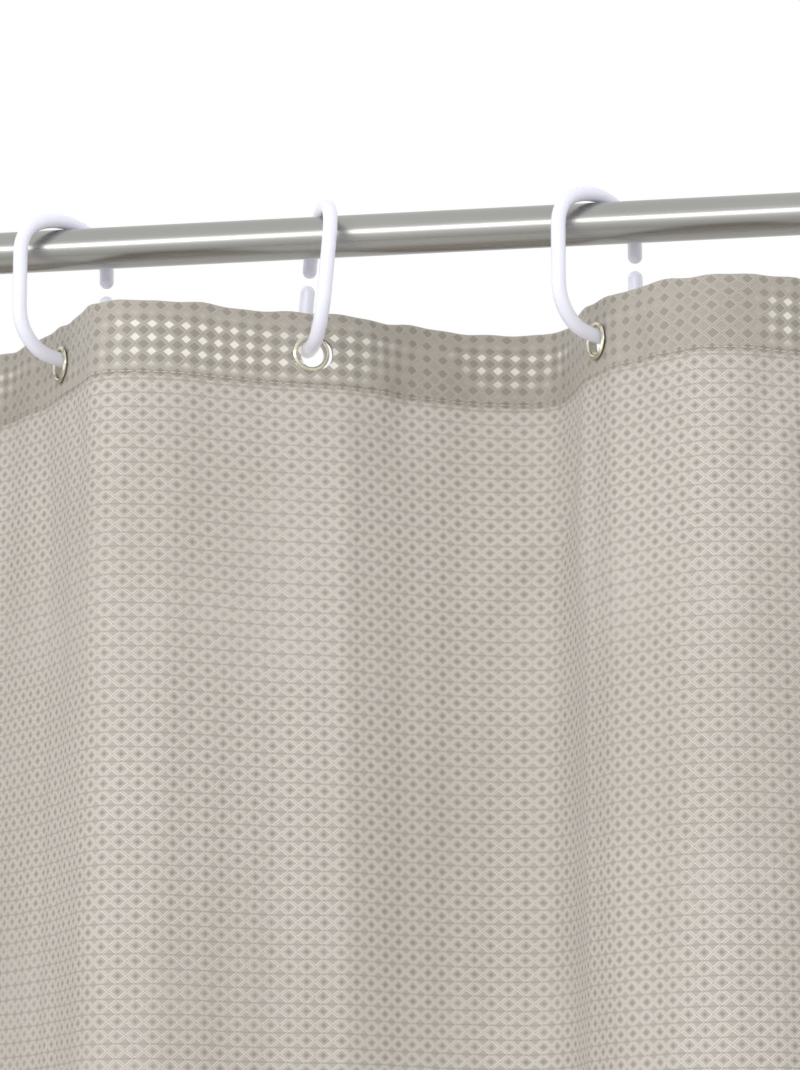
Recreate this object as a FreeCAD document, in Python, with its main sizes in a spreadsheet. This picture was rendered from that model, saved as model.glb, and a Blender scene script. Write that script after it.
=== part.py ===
import FreeCAD, Part
import math
import os

import Sketcher
from FreeCAD import Placement, Rotation, Vector

# A fabric shower curtain on a straight rod. The frame is +X along the rod to the right, +Y from the
# room towards the bath, +Z up. The origin is on the rod's axis, at the left wall.
doc = FreeCAD.newDocument("shower_curtain")
sheet = doc.addObject("Spreadsheet::Sheet", "dims")

DIMENSIONS = (
    # the rod and its wall flanges
    ("rod_diameter", 16.0),
    ("rod_wall", 1.0),
    ("wall_to_wall", 1300.0),
    ("rod_end_gap", 2.0),
    ("plate_diameter", 60.0),
    ("plate_thickness", 5.0),
    ("collar_diameter", 26.0),
    ("collar_depth", 26.0),
    ("collar_bore", 16.4),
    ("collar_blend", 5.0),
    ("screw_circle", 44.0),
    ("screw_hole", 4.8),
    ("screw_sink", 9.0),
    ("screw_sink_depth", 1.6),
    ("grub_station", 17.0),
    ("grub_hole", 5.0),
    ("grub_diameter", 4.8),
    ("grub_length", 4.6),
    ("grub_key", 2.5),
    ("grub_key_depth", 2.4),
    ("grub_tip_gap", 0.1),
    # the split rings
    ("ring_wire", 5.5),
    ("ring_width", 45.0),
    ("ring_top", 11.05),
    ("ring_bottom", -43.5),
    ("ring_top_shoulder", 14.0),
    ("ring_top_crown", 32.0),
    ("ring_bottom_shoulder", 17.0),
    ("ring_bottom_crown", 48.0),
    ("ring_gap", 3.0),
    ("ring_gap_centre", -12.5),
    ("ring_turn_odd", -32.0),
    ("ring_turn_even", 21.0),
    # the cloth and its folds
    ("ring_count", 12.0),
    ("spacing_front", 97.0),
    ("spacing_back", 109.5),
    ("grommet_pitch", 152.0),
    ("side_margin", 64.0),
    ("first_fold_depth", 42.0),
    ("left_edge_turn", 160.0),
    ("left_edge_run", 26.0),
    ("right_edge_turn", 38.0),
    ("fold_turn", 56.0),
    ("even_turn", 24.0),
    ("fold_radius", 16.0),
    ("ease_radius", 20.0),
    ("ease_run", 13.0),
    ("cloth_thickness", 0.7),
    ("curtain_drop", 2000.0),
    ("top_edge", -28.8),
    ("hem_depth", 30.0),
    ("bottom_hem_depth", 25.0),
    ("side_hem_width", 12.0),
    ("hem_gap", 0.6),
    ("hem_turn", 1.2),
    ("tape_thickness", 0.4),
    ("tape_depth", 26.0),
    ("stitch_width", 0.9),
    ("stitch_height", 0.35),
    ("stitch_inset", 2.0),
    # the two-piece grommets
    ("grommet_centre", -45.3),
    ("grommet_bore", 10.6),
    ("grommet_metal", 0.45),
    ("grommet_flange", 14.2),
    ("grommet_crown", 0.9),
    ("grommet_clear", 0.1),
    ("washer_thickness", 0.55),
    ("curl_width", 1.0),
    ("cloth_hole", 12.0),
    ("hole_cutter", 12.0),
)

# How far each ring leans along the rod, in degrees, with its top towards +X.
RING_LEANS = (0.0, 2.5, 1.0, 3.0, 0.0, 5.0, 0.0, 2.0, -1.5, 3.5, 0.5, 2.0)

for row, (name, size) in enumerate(DIMENSIONS, start=1):
    sheet.set("A%d" % row, name)
    sheet.set("B%d" % row, "%g" % size)
    sheet.setAlias("B%d" % row, name)
doc.recompute()


def dim(name):
    return float(sheet.get(name))


def bind(thing, prop, expression):
    """Ties a property to the sheet, where names of the sheet's sizes stand for themselves."""
    for name, _ in DIMENSIONS:
        expression = expression.replace("{%s}" % name, "dims." + name)
    thing.setExpression(prop, expression)


def new_body(label):
    body = doc.addObject("PartDesign::Body", label)
    body.Label = label
    return body


def new_sketch(body, label, role, offset=None):
    sketch = body.newObject("Sketcher::SketchObject", label)
    plane = [f for f in body.Origin.OriginFeatures if f.Role == role][0]
    sketch.AttachmentSupport = [(plane, "")]
    sketch.MapMode = "FlatFace"
    if offset is not None:
        sketch.AttachmentOffset = Placement(offset, Rotation())
    return sketch


def circle(sketch, diameter, centre=Vector(0, 0, 0)):
    """Adds a circle whose diameter follows the sheet, fixed at the given centre."""
    index = sketch.addGeometry(Part.Circle(centre, Vector(0, 0, 1), dim(diameter) / 2))
    number = sketch.addConstraint(Sketcher.Constraint("Diameter", index, dim(diameter)))
    bind(sketch, "Constraints[%d]" % number, "{%s}" % diameter)
    sketch.addConstraint(Sketcher.Constraint("DistanceX", -1, 1, index, 3, centre.x))
    sketch.addConstraint(Sketcher.Constraint("DistanceY", -1, 1, index, 3, centre.y))


def polygon(sketch, points):
    """Adds a closed outline of straight lines through the points."""
    corners = [Vector(x, y, 0) for x, y in points]
    for start, end in zip(corners, corners[1:] + corners[:1]):
        sketch.addGeometry(Part.LineSegment(start, end))


def pad(body, label, sketch, length, midplane=False, reverse=False):
    feature = body.newObject("PartDesign::Pad", label)
    feature.Profile = sketch
    bind(feature, "Length", length)
    feature.Midplane = midplane
    feature.Reversed = reverse
    return feature


def pocket(body, label, sketch, depth=None, both_ways=False, reverse=False):
    feature = body.newObject("PartDesign::Pocket", label)
    feature.Profile = sketch
    if depth is None:
        feature.Type = 1
    else:
        bind(feature, "Length", depth)
    feature.Midplane = both_ways
    feature.Reversed = reverse
    return feature


def revolve(body, label, sketch, axis):
    feature = body.newObject("PartDesign::Revolution", label)
    feature.Profile = sketch
    feature.ReferenceAxis = (sketch, [axis])
    feature.Angle = 360.0
    return feature


# ---------------------------------------------------------------- the rod, flanges and grub screws
def make_rod():
    body = new_body("rod_tube")
    ends = new_sketch(body, "rod_section", "YZ_Plane")
    circle(ends, "rod_diameter")
    inner = dim("rod_diameter") / 2 - dim("rod_wall")
    bore = ends.addGeometry(Part.Circle(Vector(0, 0, 0), Vector(0, 0, 1), inner))
    number = ends.addConstraint(Sketcher.Constraint("Radius", bore, inner))
    bind(ends, "Constraints[%d]" % number, "{rod_diameter} / 2 - {rod_wall}")
    ends.addConstraint(Sketcher.Constraint("Coincident", bore, 3, -1, 1))
    pad(body, "rod_pad", ends, "{wall_to_wall} - 2 * {rod_end_gap}", midplane=True)
    bind(body, "Placement.Base.x", "{wall_to_wall} / 2")
    return body


def make_flange(label, side):
    """One wall flange in its own frame, with its back on x=0 and its collar towards +X."""
    body = new_body(label)
    profile = new_sketch(body, label + "_profile", "XY_Plane")
    bore = dim("collar_bore") / 2
    plate = dim("plate_diameter") / 2
    collar = dim("collar_diameter") / 2
    thick = dim("plate_thickness")
    depth = dim("collar_depth")
    blend = dim("collar_blend")
    polygon(profile, (
        (0, bore), (0, plate), (thick * 0.45, plate), (thick, plate - thick * 0.55),
        (thick, collar + blend), (thick + blend * 0.3, collar + blend * 0.3), (thick + blend, collar),
        (depth - 1.0, collar), (depth, collar - 1.0), (depth, bore),
    ))
    revolve(body, label + "_turned", profile, "H_Axis")

    place = Vector(0, dim("screw_circle") / 2, 0)
    through = new_sketch(body, label + "_screw", "YZ_Plane")
    circle(through, "screw_hole", place)
    hole = pocket(body, label + "_screw_hole", through, reverse=True)
    seat = new_sketch(body, label + "_seat", "YZ_Plane", Vector(0, 0, thick))
    bind(seat, "AttachmentOffset.Base.z", "{plate_thickness}")
    circle(seat, "screw_sink", place)
    sink = pocket(body, label + "_screw_seat", seat, "{screw_sink_depth}")

    ring = body.newObject("PartDesign::PolarPattern", label + "_screw_holes")
    ring.Originals = [hole, sink]
    ring.Axis = (through, ["N_Axis"])
    ring.Angle = 360.0
    ring.Occurrences = 3
    body.Tip = ring

    grub = new_sketch(body, label + "_grub", "XY_Plane")
    circle(grub, "grub_hole", Vector(dim("grub_station"), 0, 0))
    body.Tip = pocket(body, label + "_grub_hole", grub, "{collar_diameter}")
    turn = Rotation() if side < 0 else Rotation(Vector(0, 0, 1), 180)
    body.Placement = Placement(Vector(dim("wall_to_wall") * (side + 1) / 2, 0, 0), turn)
    return body


def make_grub_screw(label, side):
    """A socket grub screw that comes up through the collar's underside onto the rod."""
    body = new_body(label)
    shank = new_sketch(body, label + "_shank", "XY_Plane")
    circle(shank, "grub_diameter")
    pad(body, label + "_pad", shank, "{grub_length}")
    key = new_sketch(body, label + "_key", "XY_Plane")
    reach = dim("grub_key") / 2 / math.cos(math.pi / 6)
    polygon(key, [(reach * math.cos(k * math.pi / 3), reach * math.sin(k * math.pi / 3)) for k in range(6)])
    body.Tip = pocket(body, label + "_socket", key, "{grub_key_depth}", reverse=True)
    low = -dim("rod_diameter") / 2 - dim("grub_tip_gap") - dim("grub_length")
    across = dim("wall_to_wall") / 2 + side * (dim("wall_to_wall") / 2 - dim("grub_station"))
    body.Placement = Placement(Vector(across, 0, low), Rotation())
    return body


# --------------------------------------------------------------------------- the folds of the cloth
def along(angle):
    return Vector(math.cos(math.radians(angle)), math.sin(math.radians(angle)), 0)


def elbow(near, far, length, angle):
    """The corner of a two-legged run of a given length, whose first leg leaves `near` at an angle."""
    base = far - near
    leg = (length ** 2 - base.Length ** 2) / (2 * (length - base.dot(along(angle))))
    return near + along(angle) * leg


def fold_path():
    """The corners of the cloth's centre line in plan with their radii, and each grommet's place."""
    turn = dim("fold_turn")
    flat = dim("even_turn")
    run = dim("ease_run")
    sharp = dim("fold_radius")
    ease = dim("ease_radius")
    # the flat length that a rounded corner saves, where the cloth turns from one run to the next
    bend = 180 - turn - flat
    saved = 2 * sharp * math.tan(math.radians(bend / 2)) - sharp * math.radians(bend)
    length = dim("grommet_pitch") + saved - run
    pairs = int(dim("ring_count")) // 2
    row = pairs * dim("spacing_front") + (pairs - 1) * dim("spacing_back")
    x = (dim("wall_to_wall") - row) / 2
    corners = []
    places = []
    back = Vector(x, 0, 0) - along(-turn) * dim("first_fold_depth")
    corners.append((back + along(dim("left_edge_turn")) * dim("left_edge_run"), 0))
    corners.append((back, sharp))
    for pair in range(1, pairs + 1):
        odd = Vector(x, 0, 0)
        even = Vector(x + dim("spacing_front"), 0, 0)
        places += [(odd, -turn), (even, flat)]
        before = even - along(flat) * run
        beyond = even + along(flat) * run
        corners += [(elbow(odd, before, length, -turn), sharp), (before, ease), (beyond, ease)]
        x = even.x + dim("spacing_back")
        if pair < pairs:
            corners.append((elbow(Vector(x, 0, 0), beyond, length, 180 - turn), sharp))
        else:
            corners.append((beyond + along(dim("right_edge_turn")) * (dim("side_margin") - run), 0))
    return corners, places


def rounded(corners):
    """Turns corners into a chain of straight and round runs. Each run is a list of (point, angle)."""
    def heading(a, b):
        return math.degrees(math.atan2(b.y - a.y, b.x - a.x))

    runs = []
    at = corners[0][0]
    for n in range(1, len(corners) - 1):
        before, (here, radius), after = corners[n - 1][0], corners[n], corners[n + 1][0]
        a = heading(before, here)
        b = heading(here, after)
        setback = radius * math.tan(math.radians(abs(b - a)) / 2)
        start = here - along(a) * setback
        end = here + along(b) * setback
        side = 1 if b > a else -1
        centre = start + along(a + 90 * side) * radius
        middle = centre - along((a + b) / 2 + 90 * side) * radius
        runs.append([(at, a), (start, a)])
        runs.append([(start, a), (middle, (a + b) / 2), (end, b)])
        at = end
    last = corners[-1][0]
    runs.append([(at, heading(at, last)), (last, heading(at, last))])
    return runs


def beside(runs, away):
    """The chain's edges, moved sideways by `away`, which is positive towards the bath."""
    edges = []
    for run in runs:
        points = [p + along(angle + 90) * away for p, angle in run]
        if len(points) == 2:
            edges.append(Part.LineSegment(points[0], points[1]).toShape())
        else:
            edges.append(Part.Arc(points[0], points[1], points[2]).toShape())
    return edges


def wavy_layer(label, near, far, top, depth):
    """A layer of cloth between two offsets from the centre line, hanging down from height `top`."""
    front = beside(RUNS, near)
    rear = beside(RUNS, far)
    left = Part.LineSegment(front[0].Vertexes[0].Point, rear[0].Vertexes[0].Point).toShape()
    right = Part.LineSegment(front[-1].Vertexes[-1].Point, rear[-1].Vertexes[-1].Point).toShape()
    ring = Part.Wire(Part.__sortEdges__(front + [right] + rear + [left]))
    outline = doc.addObject("Part::Feature", label + "_outline")
    outline.Shape = Part.Face(ring)
    bind(outline, "Placement.Base.z", top)
    layer = doc.addObject("Part::Extrusion", label)
    layer.Base = outline
    layer.DirMode = "Custom"
    layer.Dir = Vector(0, 0, -1)
    bind(layer, "LengthFwd", depth)
    layer.Solid = True
    return layer


def side_layer(label, end, offset, width, thickness, top, depth, inset="0"):
    """An upright strip near one side edge of the cloth: end 0 is the left edge, end 1 the right."""
    point, angle = RUNS[-1][-1] if end else RUNS[0][0]
    strip = doc.addObject("Part::Box", label)
    bind(strip, "Length", width)
    bind(strip, "Width", thickness)
    bind(strip, "Height", depth)
    inward = along(angle) * (-1 if end else 1)
    reach = sheet_value(inset) + (sheet_value(width) if end else 0)
    base = point + inward * reach + along(angle + 90) * offset
    strip.Placement = Placement(
        Vector(base.x, base.y, sheet_value(top) - sheet_value(depth)), Rotation(Vector(0, 0, 1), angle))
    return strip


def sheet_value(expression):
    """The value now of a sum or difference of the sheet's sizes."""
    total = 0.0
    sign = 1
    for word in expression.split():
        if word in "+-":
            sign = -1 if word == "-" else 1
        else:
            total += sign * (dim(word[1:-1]) if word.startswith("{") else float(word))
    return total


def hole_cutters(label):
    """One round cutter through the hem at each grommet, square to the cloth there."""
    cutters = []
    for number, (point, angle) in enumerate(PLACES, start=1):
        cutter = doc.addObject("Part::Cylinder", "%s_cutter_%02d" % (label, number))
        bind(cutter, "Radius", "{cloth_hole} / 2")
        bind(cutter, "Height", "{hole_cutter}")
        start = point - along(angle + 90) * (dim("hole_cutter") / 2)
        cutter.Placement = Placement(
            Vector(start.x, start.y, dim("grommet_centre")),
            Rotation(Vector(0, 0, 1), angle) * Rotation(Vector(1, 0, 0), -90))
        cutters.append(cutter)
    gang = doc.addObject("Part::Compound", label + "_cutters")
    gang.Links = cutters
    return gang


def make_panel():
    """The sheet of cloth, with its top, bottom and side edges folded to the back and sewn down."""
    cloth = dim("cloth_thickness")
    gap = dim("hem_gap")
    pieces = [
        wavy_layer("front_layer", -cloth, 0, "{top_edge}", "{curtain_drop}"),
        wavy_layer("top_turn", -cloth, gap + cloth, "{top_edge}", "{hem_turn}"),
        wavy_layer("top_hem", gap, gap + cloth, "{top_edge}", "{hem_depth}"),
        wavy_layer("bottom_hem", -cloth, cloth, "{top_edge} - {curtain_drop} + {bottom_hem_depth}",
                   "{bottom_hem_depth}"),
    ]
    for end in (0, 1):
        pieces.append(side_layer(
            "side_hem_%d" % end, end, -0.5 * cloth, "{side_hem_width}", "{cloth_thickness}",
            "{top_edge} - {hem_depth} - 1", "{curtain_drop} - {hem_depth} - 2"))
        bind(pieces[-1], "Width", "{cloth_thickness} * 1.5")
    whole = doc.addObject("Part::MultiFuse", "panel_blank")
    whole.Shapes = pieces
    cut = doc.addObject("Part::Cut", "curtain_panel")
    cut.Base = whole
    cut.Tool = hole_cutters("panel")
    return cut


def make_tape():
    """The stiff tape inside the top hem, which stops the grommets from tearing out."""
    rest = (dim("hem_gap") - dim("tape_thickness")) / 2
    blank = wavy_layer("tape_blank", rest, rest + dim("tape_thickness"),
                       "{top_edge} - {hem_turn} - 0.6", "{tape_depth}")
    cut = doc.addObject("Part::Cut", "hem_tape")
    cut.Base = blank
    cut.Tool = hole_cutters("tape")
    return cut


def make_stitching():
    """The four rows of lockstitch that hold the folded edges down, on the cloth's front."""
    cloth = dim("cloth_thickness")
    high = dim("stitch_height")
    rows = [
        wavy_layer("stitching_top", -cloth - high, -cloth,
                   "{top_edge} - {hem_depth} + {stitch_inset}", "{stitch_width}"),
        wavy_layer("stitching_bottom", -cloth - high, -cloth,
                   "{top_edge} - {curtain_drop} + {bottom_hem_depth} - {stitch_inset}", "{stitch_width}"),
    ]
    for end, label in ((0, "stitching_left"), (1, "stitching_right")):
        rows.append(side_layer(
            label, end, -cloth - high, "{stitch_width}", "{stitch_height}",
            "{top_edge} - {hem_depth} - 1", "{curtain_drop} - {hem_depth} - {bottom_hem_depth} - 2",
            inset="{side_hem_width} - {stitch_inset}"))
    return rows


# -------------------------------------------------------------------------- the grommets and rings
def make_grommet(number, point, angle):
    """An eyelet and its washer. In their own frame the bore is along Y and the front is at -Y."""
    bore = dim("grommet_bore") / 2
    metal = dim("grommet_metal")
    rim = dim("grommet_flange") / 2
    clear = dim("grommet_clear")
    half_hem = dim("cloth_thickness") + dim("hem_gap") / 2
    front = -half_hem - clear
    rear = half_hem + clear
    crown = dim("grommet_crown")
    seat = rear + dim("washer_thickness")
    curl = dim("curl_width")
    eyelet = new_body("grommet_eyelet_%02d" % number)
    turned = new_sketch(eyelet, "eyelet_profile_%02d" % number, "XY_Plane")
    polygon(turned, (
        (bore + 0.1, front - crown * 0.55), (bore + 0.7, front - crown), (rim - 0.8, front - crown),
        (rim - 0.15, front - crown * 0.6), (rim, front - crown * 0.2), (rim - 0.2, front),
        (bore + metal, front), (bore + metal, seat + 0.05), (bore + curl, seat + 0.05),
        (bore + curl, seat + 0.3), (bore + metal, seat + 0.5), (bore + 0.1, seat + 0.2), (bore, seat - 0.3),
        (bore, front),
    ))
    revolve(eyelet, "eyelet_turned_%02d" % number, turned, "V_Axis")
    washer = new_body("grommet_washer_%02d" % number)
    stamped = new_sketch(washer, "washer_profile_%02d" % number, "XY_Plane")
    polygon(stamped, (
        (bore + metal + 0.1, rear), (rim - 0.15, rear), (rim, rear + 0.15), (rim - 0.25, seat - 0.1),
        (rim - 0.5, seat), (bore + metal + 0.1, seat),
    ))
    revolve(washer, "washer_stamped_%02d" % number, stamped, "V_Axis")
    middle = point + along(angle + 90) * (dim("hem_gap") / 2)
    for body in (eyelet, washer):
        body.Placement = Placement(
            Vector(middle.x, middle.y, dim("grommet_centre")), Rotation(Vector(0, 0, 1), angle))
    return [eyelet, washer]


def ring_runs():
    """The split ring's centre line in its own YZ plane, from the lower tip round to the upper tip."""
    half = dim("ring_width") / 2
    tip = dim("ring_gap") / 2 + dim("ring_wire") / 2

    def arch(apex, shoulder, crown, up):
        """Half an arch, from its apex out to the leg: a broad crown arc and a tight shoulder arc."""
        inset = half - shoulder
        lean = math.asin(inset / (crown - shoulder))
        spring = apex - up * (crown - (crown - shoulder) * math.cos(lean))
        middle = apex - up * crown

        def crown_point(angle):
            return crown * math.sin(angle), middle + up * crown * math.cos(angle)

        def shoulder_point(angle):
            return inset + shoulder * math.sin(angle), spring + up * shoulder * math.cos(angle)

        quarter = (lean + math.pi / 2) / 2
        return (crown_point(0), crown_point(lean / 2), crown_point(lean),
                shoulder_point(quarter), shoulder_point(math.pi / 2))

    def arc(points, side, reverse):
        ordered = [Vector(side * y, z, 0) for y, z in points]
        if reverse:
            ordered.reverse()
        return Part.Arc(*ordered)

    def line(y, z, to_z):
        return Part.LineSegment(Vector(y, z, 0), Vector(y, to_z, 0))

    top = arch(dim("ring_top"), dim("ring_top_shoulder"), dim("ring_top_crown"), 1)
    low = arch(dim("ring_bottom"), dim("ring_bottom_shoulder"), dim("ring_bottom_crown"), -1)
    return [
        line(half, dim("ring_gap_centre") - tip, low[4][1]),
        arc(low[2:], 1, True),
        arc(low[:3], 1, True),
        arc(low[:3], -1, False),
        arc(low[2:], -1, False),
        line(-half, low[4][1], top[4][1]),
        arc(top[2:], -1, True),
        arc(top[:3], -1, True),
        arc(top[:3], 1, False),
        arc(top[2:], 1, False),
        line(half, top[4][1], dim("ring_gap_centre") + tip),
    ]


def make_ring(number, point):
    """A split plastic ring that hangs over the rod and through the grommet below it."""
    body = new_body("ring_%02d" % number)
    path = new_sketch(body, "ring_path_%02d" % number, "YZ_Plane")
    runs = ring_runs()
    for run in runs:
        path.addGeometry(run)
    lower = dim("ring_gap_centre") - dim("ring_gap") / 2 - dim("ring_wire") / 2
    upper = dim("ring_gap_centre") + dim("ring_gap") / 2 + dim("ring_wire") / 2
    section = new_sketch(body, "ring_section_%02d" % number, "XY_Plane", Vector(0, 0, lower))
    circle(section, "ring_wire", Vector(0, dim("ring_width") / 2, 0))
    pipe = body.newObject("PartDesign::AdditivePipe", "ring_pipe_%02d" % number)
    pipe.Profile = section
    pipe.Spine = (path, ["Edge%d" % (k + 1) for k in range(len(runs))])
    for name, height in (("lower", lower), ("upper", upper)):
        tip = body.newObject("PartDesign::AdditiveSphere", "ring_%s_tip_%02d" % (name, number))
        bind(tip, "Radius", "{ring_wire} / 2")
        tip.Placement = Placement(Vector(0, dim("ring_width") / 2, height), Rotation())
        body.Tip = tip
    # each ring turns on the rod and leans a little along it, about the place where it rests
    turn = dim("ring_turn_odd") if number % 2 else dim("ring_turn_even")
    lean = RING_LEANS[number - 1]
    reach = (dim("ring_top") - dim("ring_bottom")) * math.sin(math.radians(lean))
    tilted = Placement(Vector(0, 0, 0), Rotation(Vector(0, 1, 0), lean), Vector(0, 0, dim("ring_top")))
    turned = Placement(Vector(point.x + reach, point.y, 0), Rotation(Vector(0, 0, 1), turn))
    body.Placement = Placement(turned.Base, Rotation()) * tilted * Placement(Vector(), turned.Rotation)
    return body


corners, PLACES = fold_path()
RUNS = rounded(corners)

nodes = [make_rod()]
for side, name in ((-1, "left"), (1, "right")):
    nodes.append(make_flange("flange_" + name, side))
    nodes.append(make_grub_screw("grub_screw_" + name, side))
nodes += [make_panel(), make_tape()]
nodes += make_stitching()
for number, (point, angle) in enumerate(PLACES, start=1):
    nodes += make_grommet(number, point, angle)
    nodes.append(make_ring(number, point))

doc.recompute()
for thing in doc.Objects:
    state = set(thing.State)
    if state & {"Invalid", "Error"}:
        raise RuntimeError("%s did not rebuild: %s" % (thing.Label, thing.State))
os.makedirs("parts", exist_ok=True)
for node in nodes:
    if node.Shape.isNull() or not node.Shape.isValid() or len(node.Shape.Solids) != 1:
        raise RuntimeError("%s is not one sound solid" % node.Label)
    node.Shape.exportStep("parts/%s.step" % node.Label)
    box = node.Shape.BoundBox
    print("%-20s %9.1f mm3  x %8.2f %8.2f  y %7.2f %7.2f  z %8.2f %8.2f" % (
        node.Label, node.Shape.Volume, box.XMin, box.XMax, box.YMin, box.YMax, box.ZMin, box.ZMax))
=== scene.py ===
import math

import bpy
import numpy as np
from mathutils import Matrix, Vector


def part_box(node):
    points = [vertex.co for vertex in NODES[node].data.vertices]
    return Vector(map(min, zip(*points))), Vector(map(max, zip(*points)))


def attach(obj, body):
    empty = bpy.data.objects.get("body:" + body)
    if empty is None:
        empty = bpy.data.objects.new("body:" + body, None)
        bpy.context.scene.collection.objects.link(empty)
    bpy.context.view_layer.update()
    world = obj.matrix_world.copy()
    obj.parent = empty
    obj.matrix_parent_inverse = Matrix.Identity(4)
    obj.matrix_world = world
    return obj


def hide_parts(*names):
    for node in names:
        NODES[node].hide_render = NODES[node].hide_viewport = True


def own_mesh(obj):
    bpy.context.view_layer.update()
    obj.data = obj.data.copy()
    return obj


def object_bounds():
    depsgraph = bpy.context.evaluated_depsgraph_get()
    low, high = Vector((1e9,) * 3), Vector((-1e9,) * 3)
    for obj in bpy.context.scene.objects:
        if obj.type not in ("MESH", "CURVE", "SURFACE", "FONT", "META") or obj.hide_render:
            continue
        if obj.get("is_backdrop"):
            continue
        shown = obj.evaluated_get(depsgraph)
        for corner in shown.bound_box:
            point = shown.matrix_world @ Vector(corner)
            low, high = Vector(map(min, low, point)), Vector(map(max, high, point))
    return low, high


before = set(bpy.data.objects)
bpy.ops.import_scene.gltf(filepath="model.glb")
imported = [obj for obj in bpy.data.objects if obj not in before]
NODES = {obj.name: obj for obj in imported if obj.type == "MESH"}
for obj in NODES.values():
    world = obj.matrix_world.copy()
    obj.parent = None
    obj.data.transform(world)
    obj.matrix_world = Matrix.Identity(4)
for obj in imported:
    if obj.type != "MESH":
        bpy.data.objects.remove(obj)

CAD_LOW, CAD_HIGH = (Vector(corner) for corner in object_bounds())
MM = 0.001
RNG = np.random.default_rng(5)

# ------------------------------------------------------------------------------------- sizes, in mm
# The cloth's flat width and drop, its hems, and how thick each folded hem is
CLOTH_WIDTH = 1800.0
CLOTH_DROP = 2000.0
HEM = 30.0
BOTTOM_HEM = 25.0
SIDE_HEM = 12.0
HEM_BULK = 1.5
SIDE_BULK = 0.9
STITCH = 3.25
# Half the flat length that turns over at a fold's edge, and the places where the mesh bends there
TURN = 0.9
TURN_STEPS = np.array([0.9, 0.45, 0.0, -0.45, -0.9])
# The clear zone round a grommet where the mesh is finer
FINE = 9
CELL_WIDE = 6.5
CELL_TALL = 5.3
HOLE = 6.3
DRAPE_FRAMES = 36
DRAPE_CAP = 0.012


def node_centre(name):
    low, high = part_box(name)
    return (Vector(low) + Vector(high)) / 2


RINGS = range(1, 13)
RING_X = np.array([node_centre("ring_%02d" % n).x for n in RINGS]) / MM
PANEL_LOW, PANEL_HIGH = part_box("curtain_panel")
TOP_Z = PANEL_HIGH[2] / MM
GROMMET_Z = node_centre("grommet_eyelet_06").z / MM
GROMMET_T = TOP_Z - GROMMET_Z


# ---------------------------------------------------------------------------------------- materials
class Shader:
    """A material's node tree, with short ways to write sums of its sockets."""

    def __init__(self, name):
        self.material = bpy.data.materials.new(name)
        self.material.use_nodes = True
        self.tree = self.material.node_tree
        self.bsdf = self.tree.nodes["Principled BSDF"]
        self.out = self.tree.nodes["Material Output"]

    def node(self, kind, **settings):
        made = self.tree.nodes.new(kind)
        for name, value in settings.items():
            setattr(made, name, value)
        return made

    def put(self, socket, value):
        if isinstance(value, bpy.types.NodeSocket):
            self.tree.links.new(value, socket)
        else:
            socket.default_value = value

    def math(self, operation, *values, clamp=False):
        made = self.node("ShaderNodeMath", operation=operation, use_clamp=clamp)
        for socket, value in zip(made.inputs, values):
            self.put(socket, value)
        return made.outputs[0]

    def ramp(self, value, low, high, to_low=0.0, to_high=1.0):
        made = self.node("ShaderNodeMapRange", interpolation_type="SMOOTHSTEP")
        for socket, given in zip(made.inputs, (value, low, high, to_low, to_high)):
            self.put(socket, given)
        return made.outputs[0]

    def mix(self, share, a, b, blend="MIX"):
        made = self.node("ShaderNodeMix", data_type="RGBA", blend_type=blend)
        self.put(made.inputs[0], share)
        self.put(made.inputs[6], a)
        self.put(made.inputs[7], b)
        return made.outputs[2]

    def noise(self, vector, scale, detail=2.0, roughness=0.5, kind="Fac"):
        made = self.node("ShaderNodeTexNoise")
        self.put(made.inputs["Vector"], vector)
        made.inputs["Scale"].default_value = scale
        made.inputs["Detail"].default_value = detail
        made.inputs["Roughness"].default_value = roughness
        return made.outputs[kind]

    def bump(self, height, distance, strength=1.0):
        made = self.node("ShaderNodeBump")
        self.put(made.inputs["Height"], height)
        made.inputs["Distance"].default_value = distance
        made.inputs["Strength"].default_value = strength
        return made.outputs[0]

    def set(self, **values):
        for name, value in values.items():
            self.put(self.bsdf.inputs[name.replace("_", " ")], value)
        return self


def srgb(r, g, b):
    """A colour on the usual 0 to 255 scale, as linear light."""
    def linear(c):
        c /= 255.0
        return c / 12.92 if c <= 0.04045 else ((c + 0.055) / 1.055) ** 2.4
    return (linear(r), linear(g), linear(b), 1.0)


def object_point(shader):
    return shader.node("ShaderNodeTexCoord").outputs["Object"]


def stretched(shader, vector, x, y, z):
    made = shader.node("ShaderNodeMapping")
    shader.put(made.inputs["Vector"], vector)
    made.inputs["Scale"].default_value = (x, y, z)
    return made.outputs[0]


def steel_material():
    """Satin stainless tube, polished along its length."""
    s = Shader("satin_stainless")
    grain = s.noise(stretched(s, object_point(s), 3.0, 900.0, 900.0), 1.0, 3.0)
    broad = s.noise(object_point(s), 9.0, 3.0)
    s.set(Base_Color=s.mix(broad, srgb(158, 158, 155), srgb(172, 171, 168)), Metallic=1.0,
          Roughness=s.ramp(grain, 0.2, 0.8, 0.25, 0.33), Normal=s.bump(grain, 0.00002, 0.4))
    return s.material


def plastic_material():
    """Glossy white plastic with a cool cast, moulded with a faint waviness."""
    s = Shader("white_plastic")
    wave = s.noise(object_point(s), 160.0, 2.0)
    s.set(Base_Color=s.mix(s.noise(object_point(s), 30.0), srgb(226, 227, 240), srgb(232, 233, 245)),
          Roughness=s.ramp(wave, 0.3, 0.7, 0.2, 0.27), Normal=s.bump(wave, 0.0001, 0.2),
          IOR=1.49)
    s.bsdf.inputs["Subsurface Weight"].default_value = 0.35
    s.bsdf.inputs["Subsurface Radius"].default_value = (0.004, 0.004, 0.005)
    return s.material


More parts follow.
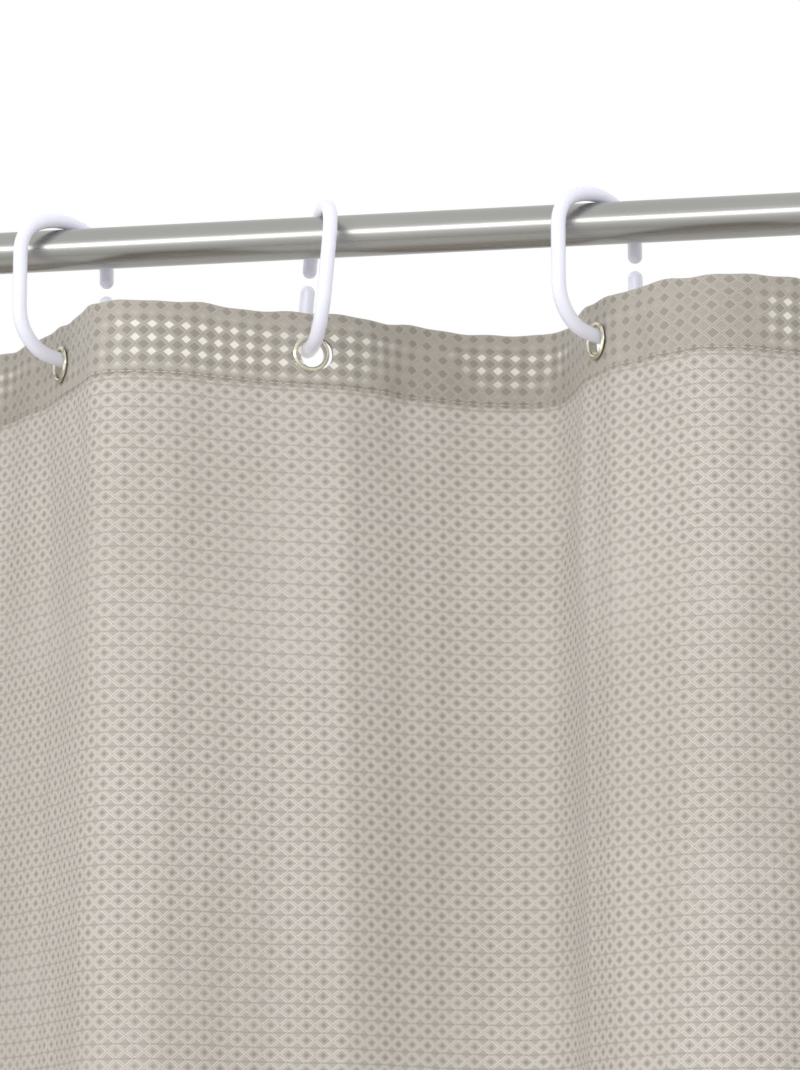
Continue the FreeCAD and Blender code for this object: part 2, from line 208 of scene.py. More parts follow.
def nickel_material():
    """Thin plated brass, with the light scratches of an eyelet press."""
    s = Shader("plated_nickel")
    scuff = s.noise(stretched(s, object_point(s), 500.0, 500.0, 1500.0), 1.0, 4.0)
    s.set(Base_Color=s.mix(scuff, srgb(206, 200, 178), srgb(226, 222, 206)), Metallic=1.0,
          Roughness=s.ramp(scuff, 0.3, 0.7, 0.16, 0.3), Normal=s.bump(scuff, 0.00002, 0.5))
    return s.material


def black_steel_material():
    s = Shader("black_oxide")
    grit = s.noise(object_point(s), 1500.0, 3.0)
    s.set(Base_Color=s.mix(grit, srgb(30, 30, 32), srgb(46, 46, 48)), Metallic=0.8,
          Roughness=s.ramp(grit, 0.3, 0.7, 0.35, 0.5), Normal=s.bump(grit, 0.00003, 0.5))
    return s.material


def thread_material():
    """Twisted polyester thread."""
    s = Shader("sewing_thread")
    twist = s.noise(stretched(s, object_point(s), 1800.0, 1800.0, 1800.0), 1.0, 2.0)
    s.set(Base_Color=s.mix(twist, srgb(166, 159, 148), srgb(206, 200, 190)), Roughness=0.6,
          Normal=s.bump(twist, 0.0001, 0.6))
    s.bsdf.inputs["Sheen Weight"].default_value = 0.3
    return s.material


def cloth_material():
    """Jacquard polyester: a lattice of small diamonds between crossing satin ribs."""
    s = Shader("waffle_jacquard")
    flat = s.node("ShaderNodeUVMap", uv_map="flat").outputs["UV"]
    split = s.node("ShaderNodeSeparateXYZ")
    s.put(split.inputs[0], flat)
    across, down = split.outputs[0], split.outputs[1]
    wobble = s.noise(flat, 60.0, 2.0, kind="Color")
    wobbled = s.node("ShaderNodeSeparateXYZ")
    s.put(wobbled.inputs[0], wobble)
    u = s.math("DIVIDE", across, CELL_WIDE * MM)
    v = s.math("DIVIDE", down, CELL_TALL * MM)
    u = s.math("ADD", u, s.math("MULTIPLY", wobbled.outputs[0], 0.25))
    v = s.math("ADD", v, s.math("MULTIPLY", wobbled.outputs[1], 0.2))
    p = s.math("ADD", u, v)
    q = s.math("SUBTRACT", u, v)
    p_cell, q_cell = s.math("ROUND", p), s.math("ROUND", q)
    p_off = s.math("ABSOLUTE", s.math("SUBTRACT", p, p_cell))
    q_off = s.math("ABSOLUTE", s.math("SUBTRACT", q, q_cell))
    away = s.math("MAXIMUM", p_off, q_off)
    parity = s.math("FLOORED_MODULO", s.math("ADD", p_cell, q_cell), 2.0)
    odd = s.ramp(parity, 0.4, 0.6)
    even = s.math("SUBTRACT", 1.0, odd)
    # hem is 1 where the cloth is folded double, which hides the light from behind
    top_hem = s.ramp(down, (HEM + 0.3) * MM, (HEM - 0.3) * MM)
    foot_hem = s.ramp(down, (CLOTH_DROP - BOTTOM_HEM - 0.3) * MM, (CLOTH_DROP - BOTTOM_HEM + 0.3) * MM)
    left_hem = s.ramp(across, (SIDE_HEM + 0.3) * MM, (SIDE_HEM - 0.3) * MM)
    right_hem = s.ramp(across, (CLOTH_WIDTH - SIDE_HEM - 0.3) * MM, (CLOTH_WIDTH - SIDE_HEM + 0.3) * MM)
    hem = s.math("MAXIMUM", s.math("MAXIMUM", top_hem, foot_hem), s.math("MAXIMUM", left_hem, right_hem))
    body = s.math("SUBTRACT", 1.0, hem)

    # fine threads: warp lines, weft lines and the twill of the ribs
    weft = s.math("SINE", s.math("MULTIPLY", v, math.tau * 8))
    warp = s.math("SINE", s.math("MULTIPLY", u, math.tau * 10))
    twill_p = s.math("SINE", s.math("MULTIPLY", p, math.tau * 5))
    twill_q = s.math("SINE", s.math("MULTIPLY", q, math.tau * 5))
    closer_p = s.math("GREATER_THAN", p_off, q_off)
    twill = s.mix(closer_p, twill_q, twill_p)
    fine = s.math("ADD", s.math("MULTIPLY", twill, 0.5), 0.5)
    threads = s.math("ADD", s.math("MULTIPLY", s.math("MULTIPLY", weft, warp), 0.25), 0.5)

    rib_edge = s.math("MULTIPLY", s.ramp(away, 0.34, 0.38), s.ramp(away, 0.475, 0.44))
    rib = s.math("ADD", s.math("MULTIPLY", s.ramp(away, 0.28, 0.38), 0.3),
                 s.math("MULTIPLY", rib_edge, 0.7))
    core = s.ramp(away, s.ramp(hem, 0.0, 1.0, 0.21, 0.33), s.ramp(hem, 0.0, 1.0, 0.13, 0.29))
    # the dark line between two rows of cells
    row = s.math("ABSOLUTE", s.math("SUBTRACT", v, s.math("ROUND", v)))
    rule = s.math("MULTIPLY", s.ramp(row, 0.07, 0.02), s.math("MULTIPLY", body, 0.5))

    # painted sheen: the satin diamonds along the middle of the heading are painted near white in patches,
    # where they would catch the light
    patch = s.noise(stretched(s, flat, 1.0, 1.2, 1.0), 15.0, 1.0)
    patch = s.ramp(patch, 0.36, 0.58)
    middle = s.math("MULTIPLY", s.ramp(down, 0.004, 0.010), s.ramp(down, 0.028, 0.023))
    patch = s.math("MULTIPLY", patch, s.math("ADD", s.math("MULTIPLY", middle, 0.85), 0.15))
    painted_heading_sheen = s.math("MULTIPLY", s.math("MULTIPLY", core, even), s.math("MULTIPLY", hem, patch))

    # the hem's ground, dark and light colours are darker copies of the body's: painted shade for the light
    # from behind that the double cloth holds back
    ground = s.mix(hem, srgb(186, 180, 172), srgb(163, 157, 147))
    dark = s.mix(hem, srgb(154, 143, 136), srgb(148, 139, 130))
    light = s.mix(hem, srgb(236, 231, 225), srgb(206, 201, 192))
    colour = s.mix(s.math("MULTIPLY", rib, s.ramp(fine, 0.2, 0.7, 0.35, 1.0)), ground, light)
    dark_share = s.ramp(hem, 0.0, 1.0, 0.80, 0.5)
    colour = s.mix(s.math("MULTIPLY", s.math("MULTIPLY", core, odd), dark_share), colour, dark)
    colour = s.mix(s.math("MULTIPLY", s.math("MULTIPLY", core, even), s.math("MULTIPLY", body, 0.6)),
                   colour, srgb(180, 176, 169))
    colour = s.mix(s.math("MULTIPLY", s.math("MULTIPLY", core, even), s.math("MULTIPLY", hem, 0.35)),
                   colour, srgb(182, 176, 166))
    # painted sheen on the heading's satin diamonds
    colour = s.mix(s.math("MULTIPLY", painted_heading_sheen, 0.95), colour, srgb(244, 240, 233))
    # the heading's seam pulls a shallow groove into the cloth; the groove is bumped in and its colour
    # darkened as painted shade
    seam_off = s.math("ABSOLUTE", s.math("SUBTRACT", down, (HEM - 1.5) * MM))
    seam = s.ramp(seam_off, 0.0009, 0.0002)
    colour = s.mix(s.math("MULTIPLY", seam, 0.3), colour, srgb(132, 123, 113))
    # painted sheen: squares of satin below the heading are painted lighter in noise patches, where they
    # would catch the light
    body_sheen_patch = s.ramp(s.noise(flat, 13.0, 3.0), 0.50, 0.74)
    painted_body_sheen = s.math("MULTIPLY", s.math("MULTIPLY", s.ramp(away, 0.40, 0.34), odd),
                    s.math("MULTIPLY", body, s.math("MULTIPLY", body_sheen_patch, 0.32)))
    # painted sheen on the body's satin squares
    colour = s.mix(painted_body_sheen, colour, srgb(226, 219, 214))
    colour = s.mix(rule, colour, srgb(158, 151, 143))
    colour = s.mix(s.ramp(threads, 0.2, 0.8, 0.10, 0.0), colour, srgb(110, 103, 95))
    uneven = s.noise(flat, 9.0, 3.0)
    colour = s.mix(s.ramp(uneven, 0.35, 0.65, 0.0, 0.12), colour, srgb(160, 151, 142))

    relief = s.math("ADD", s.math("MULTIPLY", rib, 0.8), s.math("MULTIPLY", fine, 0.12))
    relief = s.math("ADD", relief, s.math("MULTIPLY", threads, 0.12))
    relief = s.math("SUBTRACT", relief, s.math("MULTIPLY", seam, 0.8))
    normal = s.bump(relief, 0.0005, 0.6)
    s.set(Base_Color=colour, Roughness=s.ramp(rib, 0.0, 1.0, 0.62, 0.45), Normal=normal)
    s.bsdf.inputs["Sheen Weight"].default_value = 0.25
    s.bsdf.inputs["Sheen Roughness"].default_value = 0.4
    s.bsdf.inputs["Specular IOR Level"].default_value = 0.35
    # light that comes through the cloth from behind
    through = s.node("ShaderNodeBsdfTranslucent")
    s.put(through.inputs["Color"], colour)
    s.put(through.inputs["Normal"], normal)
    both = s.node("ShaderNodeMixShader")
    s.put(both.inputs[0], s.mix(hem, (0.34, 0.34, 0.34, 1.0), (0.12, 0.12, 0.12, 1.0)))
    s.tree.links.new(s.bsdf.outputs[0], both.inputs[1])
    s.tree.links.new(through.outputs[0], both.inputs[2])
    s.tree.links.new(both.outputs[0], s.out.inputs["Surface"])
    return s.material


STEEL = steel_material()
PLASTIC = plastic_material()
NICKEL = nickel_material()
BLACK = black_steel_material()
THREAD = thread_material()
CLOTH = cloth_material()


# ---------------------------------------------------------------------------------- the cloth's folds
# Each fold's heading at flat distances in mm from its first grommet, in degrees from +X towards +Y,
# and the stretch of cloth that bows a little more or less to bring the fold back to the rod's line.
STEEP, SHALLOW = -56, 24
FRONT_FOLD = (((0, STEEP), (12, -66), (34, -66), (41, -46), (49, -6), (62, 12), (82, 24), (108, 36),
               (128, 38), (146, SHALLOW)), 52, 138)
BACK_FOLD = (((0, SHALLOW), (12, 42), (34, 47), (66, 43), (84, 24), (98, -2), (108, -36), (120, -58),
              (136, -66), (154, -64), (168, STEEP)), 8, 104)
FOLDS = [FRONT_FOLD if n % 2 == 0 else BACK_FOLD for n in range(11)]
FOLDS[3] = (((0, SHALLOW), (12, 40), (40, 42), (66, 28), (80, 4), (92, -20), (104, -30), (114, -44),
             (124, -30), (134, -32), (143, -46), (152, STEEP)), 8, 76)
FOLDS[4] = (((0, -50), (10, -54), (20, -62), (33, -62), (39, -36), (45, -8), (50, 3), (60, 16), (69, 27),
             (80, 37), (98, 33), (112, 24), (126, SHALLOW)), 50, 110)
FOLDS[5] = (((0, SHALLOW), (10, 40), (28, 40), (50, 34), (70, 27), (87, 18), (95, 4), (100, -32),
             (107, -58), (122, -64), (138, -65), (147, -60), (154, STEEP)), 8, 92)
FOLDS[6] = (((0, STEEP), (10, -42), (18, -30), (30, -36), (40, -37), (50, -18), (60, 2), (67, 20),
             (90, 26), (104, 44), (120, SHALLOW)), 76, 114)


def grommet_places():
    """Where each grommet sits along the flat width."""
    gaps = [table[-1][0] for table, _, _ in FOLDS]
    start = (CLOTH_WIDTH - sum(gaps)) / 2
    return start + np.concatenate([[0.0], np.cumsum(gaps)])


GROMMET_S = grommet_places()


def soften(values, step, width):
    """Smooths a row of values by a bell of the given width in mm."""
    if width < step / 4:
        return values
    reach = int(3 * width / step) + 1
    bell = np.exp(-0.5 * (np.arange(-reach, reach + 1) * step / width) ** 2)
    return np.convolve(np.pad(values, reach, mode="edge"), bell / bell.sum(), mode="valid")


def fold_headings(step, tilt):
    """The heading at every step of the flat width. Tilt varies each fold's depth."""
    s = np.arange(0.0, CLOTH_WIDTH + step / 2, step)
    first, last = GROMMET_S[0], GROMMET_S[11]
    knots = [(0.0, 62.0), (first - 74, 48.0), (first - 54, 14.0), (first - 36, -48.0), (first - 12, -58.0)]
    for n, (table, _, _) in enumerate(FOLDS):
        knots += [(GROMMET_S[n] + place, heading * tilt[n]) for place, heading in table[:-1]]
    knots += [(last, SHALLOW), (last + 9, SHALLOW), (last + 24, 42.0), (last + 46, 30.0),
              (last + 66, -28.0), (CLOTH_WIDTH, -44.0)]
    places, headings = zip(*knots)
    return s, np.interp(s, places, headings)


def rise(value, low, high):
    """0 at low, 1 at high, and a smooth climb between."""
    share = np.clip((value - low) / (high - low), 0, 1)
    return share * share * (3 - 2 * share)


def hold_grommets(s, headings):
    """Keeps the cloth flat and at its grommet's own heading where the two metal halves clamp it."""
    out = headings.copy()
    for n, place in enumerate(GROMMET_S):
        share = 1 - rise(np.abs(s - place), 8, 13)
        out += share * ((SHALLOW if n % 2 else STEEP) - out)
    return out


def close_folds(s, headings, step):
    """Bows each fold as little as it takes to start and end on the rod's line."""
    out = headings.copy()
    for n, (_, start, end) in enumerate(FOLDS):
        inside = (s >= GROMMET_S[n]) & (s < GROMMET_S[n + 1])
        place = s[inside] - GROMMET_S[n]
        near = np.minimum(place, GROMMET_S[n + 1] - GROMMET_S[n] - place)
        share = 0.12 + 0.88 * rise(place, start, start + 14) * (1 - rise(place, end - 14, end))
        share *= rise(near, 6, 16)
        span = RING_X[n + 1] - RING_X[n]
        for _ in range(20):
            angle = np.radians(out[inside])
            miss = np.array([span - np.cos(angle).sum() * step, -np.sin(angle).sum() * step])
            turns = np.array([-np.sin(angle), np.cos(angle)])
            slope = step * (turns * share) @ turns.T
            amount = np.linalg.solve(slope, miss)
            out[inside] += np.degrees(np.clip((amount @ turns) * share, -0.1, 0.1))
    return out


def plan_curve(headings, step):
    """X and Y along the flat width, placed so that the first grommet is on its ring."""
    angle = np.radians(headings)
    x = np.concatenate([[0.0], np.cumsum(np.cos(angle[:-1]) * step)])
    y = np.concatenate([[0.0], np.cumsum(np.sin(angle[:-1]) * step)])
    s = np.arange(len(x)) * step
    x += RING_X[0] - np.interp(GROMMET_S[0], s, x)
    y -= np.interp(GROMMET_S[0], s, y)
    return x, y


STEP = 0.5
LEVELS = np.array([0.0, 60.0, 200.0, 500.0, 1000.0, 1500.0, 2000.0])
SOFTNESS = np.array([3.0, 4.5, 7.0, 12.0, 16.0, 18.0, 18.0])


def fold_levels():
    """The plan curve at several depths below the top edge."""
    rows = []
    base = np.ones(11)
    drift = RNG.normal(0, 1, (len(LEVELS), 11))
    for level, softness, change in zip(LEVELS, SOFTNESS, np.cumsum(drift, axis=0)):
        tilt = base + 0.02 * change * (level > 300)
        s, headings = fold_headings(STEP, tilt)
        headings = soften(headings, STEP, softness)
        if level < 250:
            headings = hold_grommets(s, headings)
        headings = close_folds(s, headings, STEP)
        rows.append(plan_curve(headings, STEP))
    return s, np.array(rows)


FLAT_S, CURVES = fold_levels()


def plan_at(s, t):
    """X and Y of the cloth at flat places s (across) and t (down), both arrays of one shape."""
    t = np.clip(t, 0, CLOTH_DROP)
    k = np.clip(np.searchsorted(LEVELS, t, side="right") - 1, 0, len(LEVELS) - 2)
    w = (t - LEVELS[k]) / (LEVELS[k + 1] - LEVELS[k])
    w = w * w * (3 - 2 * w)
    x = np.empty_like(s)
    y = np.empty_like(s)
    for level in range(len(LEVELS) - 1):
        here = k == level
        for out, axis in ((x, 0), (y, 1)):
            low = np.interp(s[here], FLAT_S, CURVES[level, axis])
            high = np.interp(s[here], FLAT_S, CURVES[level + 1, axis])
            out[here] = low + (high - low) * w[here]
    return x, y


def crease(s, t, start, end, width, height):
    """A soft ridge (or valley, where height is negative) from one flat place to another, in mm."""
    start, end = np.array(start, float), np.array(end, float)
    run = end - start
    length = np.hypot(*run)
    along = ((s - start[0]) * run[0] + (t - start[1]) * run[1]) / length
    off = ((s - start[0]) * run[1] - (t - start[1]) * run[0]) / length
    share = np.clip(along / length, 0, 1)
    ends = np.where((along > 0) & (along < length), 0.0, np.minimum(np.abs(along), np.abs(along - length)))
    fade = np.sqrt(np.clip(share * (1 - share) * 4, 0, 1))
    return height * fade * np.exp(-(off / width) ** 2 - (ends / width) ** 2)


# Creases of the heading and the cloth below it: grommet counted from 0, start and end relative to
# that grommet's flat place in mm across and mm down from the top edge, then width and height.
CREASES = [
    (4, (-3, 1), (-4, 11), 2.6, -1.3), (4, (5, 24), (26, 60), 6.0, 1.4),
    (4, (-30, 0), (-20, 34), 7.0, 1.0), (4, (38, 0), (44, 14), 3.0, 1.2),
    (4, (44, 30), (42, 150), 9.0, -1.5), (4, (-18, 36), (-12, 120), 8.0, 1.4),
    (4, (16, 34), (20, 190), 7.0, -1.3), (5, (20, 0), (30, 36), 6.0, -1.6),
    (5, (8, 10), (22, 4), 4.0, -1.2), (5, (44, 2), (34, 60), 7.0, 1.3),
    (6, (-3, 1), (-5, 10), 2.8, -1.5), (6, (-26, 44), (-62, 100), 7.0, 1.8),
    (6, (-40, 60), (-86, 108), 8.0, -1.5), (6, (-12, 34), (-20, 110), 7.0, -1.5),
    (6, (14, 0), (10, 30), 5.0, 1.0), (6, (26, 0), (36, 40), 7.0, -1.1),
    (6, (46, 0), (60, 30), 7.0, 1.0), (6, (30, 60), (70, 190), 9.0, 1.0),
]
for first in range(12):
    for _ in range(5 if first not in (4, 5, 6) else 0):
        x, down, lean = RNG.uniform(-60, 60), RNG.uniform(0, 70), RNG.uniform(-26, 26)
        CREASES.append((first, (x, down), (x + lean, down + RNG.uniform(26, 90)), RNG.uniform(4, 9),
                        RNG.choice([-1.3, 1.3])))


def wrinkles(s, t):
    """How far in mm creases and long soft ripples push the cloth out towards the bath."""
    out = np.zeros_like(s)
    for n, start, end, width, height in CREASES:
        place = GROMMET_S[n]
        near = np.abs(s - place) < 170
        out[near] += crease(s[near] - place, t[near], start, end, width, height)
    for wave, depth, lean, height in WAVES:
        out += height * np.sin((s + lean * t) / wave * math.tau + depth * np.sin(t / 310.0))
    calm = np.ones_like(s)
    for place in GROMMET_S:
        calm *= rise(np.hypot(s - place, t - GROMMET_T), 12, 22)
    return out * calm


WAVES = [(RNG.uniform(17, 33), RNG.uniform(1, 3), RNG.uniform(-0.04, 0.04), RNG.uniform(0.10, 0.16))
         for _ in range(4)]


def scallops(s):
    """How far in mm the top edge dips between the small puckers that the heading's seam makes."""
    edge = np.zeros_like(s)
    for wave, start, height in ((29.0, 0.3, 0.28), (17.0, 1.7, 0.2), (47.0, 2.2, 0.35)):
        edge += height * (1 + np.sin(s / wave * math.tau + start))
    return edge


DRAPE_S = np.linspace(0, CLOTH_WIDTH, 91)
DRAPE_T = np.linspace(0, CLOTH_DROP, 81)
DRAPE = np.zeros((len(DRAPE_T), len(DRAPE_S), 3))


def drape_move(s, t):
    """The simulated fall of the cloth at flat places s and t, in metres."""
    i = np.clip(np.asarray(t) / CLOTH_DROP * (len(DRAPE_T) - 1), 0, len(DRAPE_T) - 1.001)
    j = np.clip(np.asarray(s) / CLOTH_WIDTH * (len(DRAPE_S) - 1), 0, len(DRAPE_S) - 1.001)
    i0, j0 = i.astype(int), j.astype(int)
    fi, fj = (i - i0)[..., None], (j - j0)[..., None]
    top = DRAPE[i0, j0] * (1 - fj) + DRAPE[i0, j0 + 1] * fj
    low = DRAPE[i0 + 1, j0] * (1 - fj) + DRAPE[i0 + 1, j0 + 1] * fj
    return top * (1 - fi) + low * fi


def surface(s, t, lift=0.0):
    """Points of the cloth in metres, `lift` mm along its normal, which is positive towards the bath."""
    x, y = plan_at(s, t)
    ahead = plan_at(s + 0.75, t)
    behind = plan_at(s - 0.75, t)
    tx, ty = ahead[0] - behind[0], ahead[1] - behind[1]
    size = np.hypot(tx, ty)
    size[size == 0] = 1.0
    lift = lift + wrinkles(s, t)
    x = x - lift * ty / size
    y = y + lift * tx / size
    down = t + scallops(s) * rise(t, 12, 0)
    return np.stack([x, y, TOP_Z - down], axis=-1) * MM + drape_move(s, t)


def mesh_object(name, verts, faces, material, smooth=True):
    mesh = bpy.data.meshes.new(name)
    mesh.from_pydata([tuple(v) for v in verts], [], [tuple(f) for f in faces])
    mesh.materials.append(material)
    if smooth:
        mesh.shade_smooth()
    made = bpy.data.objects.new(name, mesh)
    bpy.context.scene.collection.objects.link(made)
    return made


def grid_faces(rows, columns):
    at = np.arange(rows * columns).reshape(rows, columns)
    return np.stack([at[:-1, :-1], at[1:, :-1], at[1:, 1:], at[:-1, 1:]], axis=-1).reshape(-1, 4)


def cloth_columns():
    """Flat places across the width, with the two side hems folded behind the first and last."""
    hem = np.arange(SIDE_HEM, 1.2, -3.0)
    places = [2.4]
    while places[-1] < CLOTH_WIDTH - 4.5:
        near = np.min(np.abs(GROMMET_S - places[-1]))
        places.append(places[-1] + (1.4 if near < 12 else 3.6))
    return np.concatenate([-hem, -TURN_STEPS, places, CLOTH_WIDTH - TURN_STEPS,
                           CLOTH_WIDTH + hem[::-1]])


def cloth_rows():
    """Flat places from the back hem's lower edge, over the top, and down the front to the bottom hem."""
    back = np.concatenate([
        np.arange(-HEM, -GROMMET_T - FINE, 3.0),
        np.arange(-GROMMET_T - FINE, -GROMMET_T + FINE, 1.5),
        np.arange(-GROMMET_T + FINE, -1.2, 2.5)])
    front = np.concatenate([
        np.arange(2.4, GROMMET_T - FINE, 2.5),
        np.arange(GROMMET_T - FINE, GROMMET_T + FINE, 1.5),
        np.arange(GROMMET_T + FINE, 300, 3.5),
        np.arange(300, CLOTH_DROP - 1, 12.0)])
    tail = np.arange(CLOTH_DROP + 3, CLOTH_DROP + BOTTOM_HEM + 0.1, 4.0)
    return np.concatenate([back, TURN_STEPS[::-1], front, CLOTH_DROP + TURN_STEPS[::-1], tail])


def hem_shape(t):
    """For each flat place down, its drop below the top edge and how far it lies behind the front."""
    half = HEM_BULK / 2
    drop = np.abs(t)
    lift = np.where(t < 0, HEM_BULK, 0.0)
    over = t > CLOTH_DROP
    drop = np.where(over, 2 * CLOTH_DROP - t, drop)
    lift = np.where(over, HEM_BULK * 0.7, lift)
    near = np.abs(t) < TURN + 0.05
    turn = t / TURN * math.pi / 2
    drop = np.where(near, half * (1 - np.cos(turn)), drop)
    lift = np.where(near, half * (1 - np.sin(turn)), lift)
    foot = np.abs(t - CLOTH_DROP) < TURN + 0.05
    turn = (t - CLOTH_DROP) / TURN * math.pi / 2
    drop = np.where(foot, CLOTH_DROP - half * (1 - np.cos(turn)), drop)
    lift = np.where(foot, half * 0.7 * (1 + np.sin(turn)), lift)
    return drop, lift


def side_shape(s):
    """For each flat place across, where it lies in the width and how far behind the front."""
    half = SIDE_BULK / 2
    inside = np.where(s < 0, -s, np.where(s > CLOTH_WIDTH, 2 * CLOTH_WIDTH - s, s))
    lift = np.where((s < 0) | (s > CLOTH_WIDTH), SIDE_BULK, 0.0)
    for edge, way in ((0.0, 1.0), (CLOTH_WIDTH, -1.0)):
        near = np.abs(s - edge) < TURN + 0.05
        turn = (s - edge) * way / TURN * math.pi / 2
        inside = np.where(near, edge + way * half * (1 - np.cos(turn)), inside)
        lift = np.where(near, half * (1 - np.sin(turn)), lift)
    return inside, lift


def make_cloth():
    columns, rows = cloth_columns(), cloth_rows()
    cut, t = (grid.ravel() for grid in np.meshgrid(columns, rows))
    drop, lift = hem_shape(t)
    s, side_lift = side_shape(cut)
    lift = lift + side_lift
    # The cloth is open at each grommet: points inside the hole move out to its edge.
    keep = np.ones(len(s), bool)
    for place in GROMMET_S:
        ds, dt = s - place, drop - GROMMET_T
        away = np.hypot(ds, dt)
        inside = away < HOLE
        keep &= away > HOLE - 2.2
        scale = HOLE / np.maximum(away, 0.01)
        s = np.where(inside, place + ds * scale, s)
        drop = np.where(inside, GROMMET_T + dt * scale, drop)
    points = surface(s, drop, lift=0.0)
    lifted = surface(s, drop, lift=1.0)
    points = points + (lifted - points) * lift[:, None]
    faces = grid_faces(len(rows), len(columns))
    faces = faces[keep[faces].all(axis=1)]
    used = np.unique(faces)
    renumber = np.zeros(len(s), int)
    renumber[used] = np.arange(len(used))
    cloth = mesh_object("curtain_cloth", points[used], renumber[faces], CLOTH)
    mesh = cloth.data
    flat = mesh.uv_layers.new(name="flat")
    corner = np.empty(len(mesh.loops), int)
    mesh.loops.foreach_get("vertex_index", corner)
    signed = np.where(t < 0, -drop, np.where(t > CLOTH_DROP, t, drop))
    across = np.where((cut < 0) | (cut > CLOTH_WIDTH), cut, s)
    uv = np.stack([across, signed], axis=-1)[used] * MM
    flat.data.foreach_set("uv", uv[corner].astype(np.float32).ravel())
    return cloth


def simulate_drape():
    """Lets a coarse copy of the curtain fall under its own weight, and keeps how far each place moved."""
    grid_s, grid_t = (grid.ravel() for grid in np.meshgrid(DRAPE_S, DRAPE_T))
    start = surface(grid_s, grid_t)
    sheet = mesh_object("drape_guide", start, grid_faces(len(DRAPE_T), len(DRAPE_S)), CLOTH)
    pins = sheet.vertex_groups.new(name="pins")
    hold = 1 - rise(grid_t, 130, 300)
    for index, weight in enumerate(hold):
        pins.add([index], float(weight), "REPLACE")
    cloth_sim = sheet.modifiers.new("cloth", "CLOTH")
    settings = cloth_sim.settings
    settings.quality = 6
    settings.mass = 0.12
    settings.air_damping = 2.0
    settings.tension_stiffness = settings.compression_stiffness = 12.0
    settings.shear_stiffness = 4.0
    settings.bending_stiffness = 0.35
    settings.vertex_group_mass = "pins"
    settings.shrink_min = -0.012
    cloth_sim.collision_settings.use_collision = False
    cloth_sim.collision_settings.use_self_collision = False
    cloth_sim.point_cache.frame_start = 1
    cloth_sim.point_cache.frame_end = DRAPE_FRAMES
    scene = bpy.context.scene
    for step in range(1, DRAPE_FRAMES + 1):
        scene.frame_set(step)
    fallen = sheet.evaluated_get(bpy.context.evaluated_depsgraph_get()).to_mesh()
    end = np.empty(len(start) * 3)
    fallen.vertices.foreach_get("co", end)
    scene.frame_set(1)
    guide = sheet.data
    bpy.data.objects.remove(sheet)
    bpy.data.meshes.remove(guide)
    move = (end.reshape(-1, 3) - start).reshape(len(DRAPE_T), len(DRAPE_S), 3)
    size = np.linalg.norm(move, axis=-1, keepdims=True)
    return move * np.minimum(1, DRAPE_CAP / np.maximum(size, 1e-9)) * rise(DRAPE_T, 60, 260)[:, None, None]


DRAPE = simulate_drape()
cloth = make_cloth()


def stitch_row(places_s, places_t, lift, along_s, pitch):
    """Short thread stitches at flat places, each a tapered six-sided bead lying on the cloth."""
    verts, faces = [], []
    half = pitch * 0.36
    step = np.array([half, 0.0]) if along_s else np.array([0.0, half])
    sections = ((-1.0, 0.12), (-0.72, 0.25), (0.0, 0.31), (0.72, 0.25), (1.0, 0.12))
    angles = np.arange(6) / 6 * math.tau
    for share, radius in sections:
        s = places_s + step[0] * share
        t = places_t + step[1] * share
        sink = 0.16 * share * share
        for angle in angles:
            out, side = math.sin(angle) * radius * 0.8, math.cos(angle) * radius
            verts.append(surface(s + (0 if along_s else side), t + (side if along_s else 0),
                                 lift + (out - sink) * (1 if lift > 0 else -1)))
    verts = np.array(verts)
    count = len(places_s)
    index = np.arange(len(verts) * count).reshape(len(verts), count)
    for n in range(count):
        for k in range(len(sections) - 1):
            for j in range(6):
                a, b = k * 6 + j, k * 6 + (j + 1) % 6
                faces.append((index[a, n], index[b, n], index[b + 6, n], index[a + 6, n]))
        faces.append(tuple(index[j, n] for j in range(6)))
        faces.append(tuple(index[len(verts) - 1 - j, n] for j in range(6)))
    return verts.reshape(-1, 3), faces


def make_stitches(name, rows):
    verts, faces, start = [], [], 0
    for row in rows:
        points, quads = stitch_row(*row)
        verts.extend(points)
        faces.extend(tuple(corner + start for corner in quad) for quad in quads)
        start += len(points)
    return mesh_object(name, verts, faces, THREAD)


def stitch_rows():
    across = np.arange(4.0, CLOTH_WIDTH - 3, STITCH)
    down = np.arange(HEM + 3, CLOTH_DROP - 3, STITCH * 1.25)
    wander = 0.35 * np.sin(across / 41.0) + 0.2 * np.sin(across / 13.0 + 1.0)
    top = make_stitches("heading_stitches", [
        (across, HEM - 1.5 + wander, -0.10, True, STITCH),
        (across, HEM - 1.5 + wander, HEM_BULK + 0.10, True, STITCH)])
    foot = make_stitches("bottom_stitches", [
        (across, CLOTH_DROP - BOTTOM_HEM + 2 + wander, -0.10, True, STITCH)])
    sides = make_stitches("side_stitches", [
        (np.full(len(down), SIDE_HEM - 2.0), down, -0.10, False, STITCH * 1.25),
        (np.full(len(down), CLOTH_WIDTH - SIDE_HEM + 2.0), down, -0.10, False, STITCH * 1.25)])
    return [top, foot, sides]


stitches = stitch_rows()

# ------------------------------------------------------------------------------------- the hardware
for name, piece in NODES.items():
    if name.startswith("ring_"):
        material = PLASTIC
    elif name.startswith("grommet_"):
        material = NICKEL
    elif name.startswith("grub_"):
        material = BLACK
    elif name.startswith(("rod_", "flange_")):
        material = STEEL
    else:
        continue
    piece.data.materials.clear()
    piece.data.materials.append(material)
    piece.data.shade_smooth()

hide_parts("curtain_panel", "hem_tape")
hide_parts("stitching_top")
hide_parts("stitching_bottom")
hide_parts("stitching_left", "stitching_right")
for piece in [cloth] + stitches:
    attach(piece, "curtain")
    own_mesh(piece)

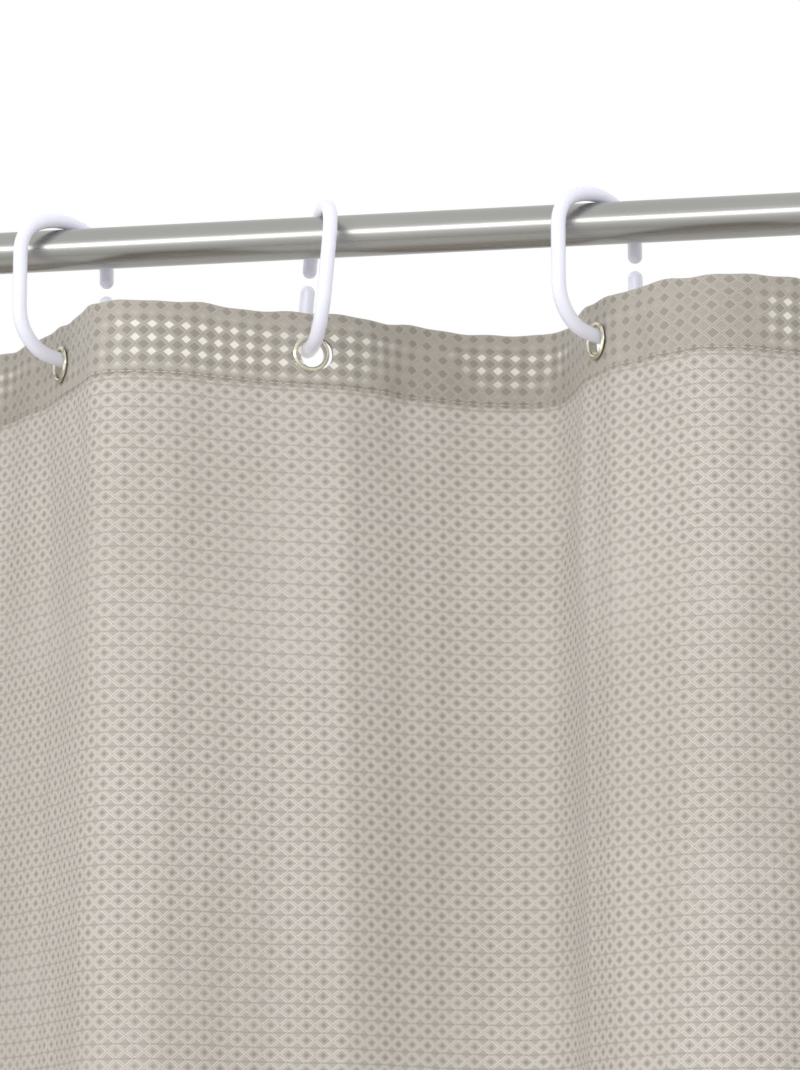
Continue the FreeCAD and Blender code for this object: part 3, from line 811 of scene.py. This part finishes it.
# -------------------------------------------------------------------------------- camera and lights
scene = bpy.context.scene
camera = bpy.data.objects.new("camera", bpy.data.cameras.new("camera"))
scene.collection.objects.link(camera)
camera.location = Vector((896.8, -1435.7, -403.8)) * MM
camera.rotation_euler = (math.radians(90 + 11.136), 0.0, math.radians(10.543))
camera.data.sensor_fit = "VERTICAL"
camera.data.sensor_height = 36.0
camera.data.lens = 134.2
camera.data.clip_start = 0.05
camera.data.clip_end = 50.0
scene.camera = camera


def area_light(name, place, target, width, tall, power, colour=(1.0, 1.0, 1.0)):
    data = bpy.data.lights.new(name, "AREA")
    data.shape = "RECTANGLE"
    data.size, data.size_y = width, tall
    data.energy = power
    data.color = colour
    lamp = bpy.data.objects.new(name, data)
    scene.collection.objects.link(lamp)
    lamp.location = place
    aim = Vector(target) - Vector(place)
    lamp.rotation_euler = aim.to_track_quat("-Z", "Y").to_euler()
    lamp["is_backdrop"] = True
    return lamp


world = bpy.data.worlds.new("studio")
scene.world = world
world.use_nodes = True
world.node_tree.nodes["Background"].inputs["Color"].default_value = (1.0, 1.0, 1.0, 1.0)
world.node_tree.nodes["Background"].inputs["Strength"].default_value = 1.0
scene.view_settings.view_transform = "Standard"

def dark_card(name, place, size_x, size_y, tilt):
    """A board that the camera doesn't see, which the polished rod reflects as its dark band."""
    half_x, half_y = size_x / 2, size_y / 2
    corners = [(-half_x, -half_y, 0), (half_x, -half_y, 0), (half_x, half_y, 0), (-half_x, half_y, 0)]
    card = mesh_object(name, corners, [(0, 1, 2, 3)],
                       Shader(name).set(Base_Color=srgb(84, 66, 58), Roughness=0.9).material, False)
    card.location = place
    card.rotation_euler = (tilt, 0, 0)
    card.visible_camera = False
    card.visible_diffuse = False
    card.visible_shadow = False
    card.visible_transmission = False
    card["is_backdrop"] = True


area_light("key", (0.2, -1.8, 0.26), (0.62, 0.0, -0.1), 2.0, 0.42, 14.0)
area_light("left_fill", (-1.3, -1.1, -0.5), (0.55, 0.0, -0.3), 0.9, 1.2, 4.5)
dark_card("dark_card", (0.65, -1.3, -1.35), 3.0, 0.9, math.radians(40))

floor = mesh_object("floor", [(-6, -6, 0), (6, -6, 0), (6, 6, 0), (-6, 6, 0)], [(0, 1, 2, 3)],
                    Shader("floor").set(Base_Color=srgb(232, 230, 226), Roughness=0.8).material, False)
floor.location = (0.65, 0.0, CAD_LOW.z - 0.12)
floor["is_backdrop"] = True
